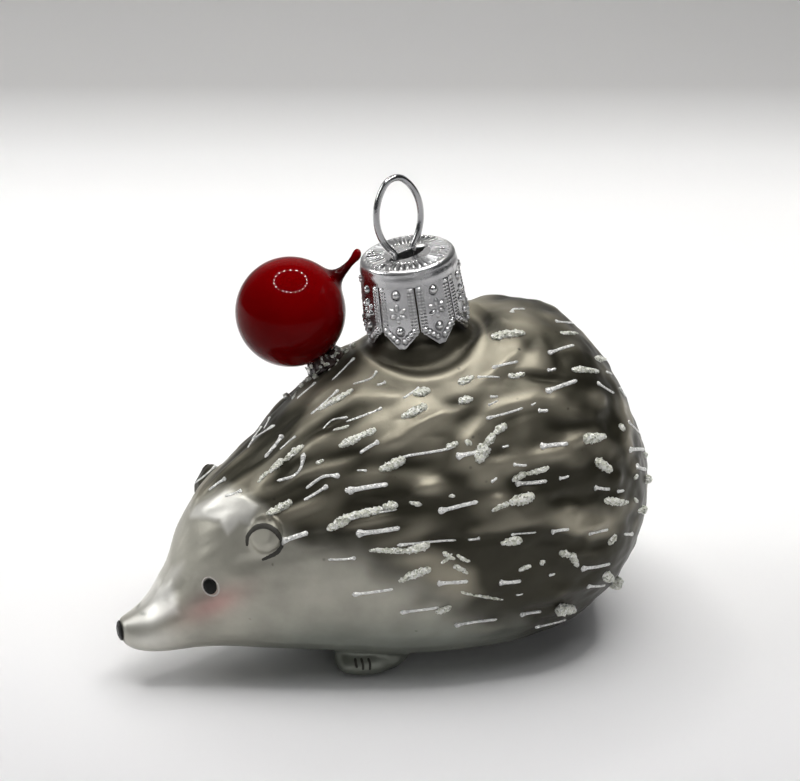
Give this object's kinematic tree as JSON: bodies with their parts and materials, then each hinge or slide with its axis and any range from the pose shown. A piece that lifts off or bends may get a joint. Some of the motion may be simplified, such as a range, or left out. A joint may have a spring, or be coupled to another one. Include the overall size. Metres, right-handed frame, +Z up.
{
  "type": "hedgehog ornament",
  "caption": "Blown glass hedgehog ornament with painted face and raised glitter quill strokes, a red glass apple on its back, a pull-off crown cap and a tilting wire hanger loop",
  "frame": {"origin": "on the surface the figure stands on, under the middle of its box", "axes": "-X is where the snout points, +Y is the far flank, +Z is up"},
  "size_m": [0.0871, 0.0494, 0.0767],
  "materials": {
    "silvered_glass": "satin lacquer over silvered glass",
    "red_glass": "gloss",
    "clear_glue": "satin",
    "black_enamel": "gloss",
    "glitter_glue": "glitter",
    "stamped_metal": "bright stamped",
    "spring_wire": "bright"
  },
  "bodies": {
    "ornament": {"glass_body": "silvered_glass", "glass_apple": "red_glass", "apple_glue": "clear_glue", "nose_enamel": "black_enamel", "near_eye_enamel": "black_enamel", "far_eye_enamel": "black_enamel", "near_quill_strokes": "glitter_glue", "far_quill_strokes": "glitter_glue"},
    "cap": {"crown_cap": "stamped_metal"},
    "hanger": {"wire_hanger": "spring_wire"}
  },
  "joints": [
    {"name": "cap_pull", "type": "slide", "parent": "ornament", "child": "cap", "axis": [-0.1478, 0, 0.989], "range_m": [0, 0.024]},
    {"name": "hanger_tilt", "type": "hinge", "parent": "cap", "child": "hanger", "pos_m": [0.00403, 0, 0.06421], "axis": [0.9637, 0.2249, 0.144], "range_deg": [-10, 10]}
  ]
}
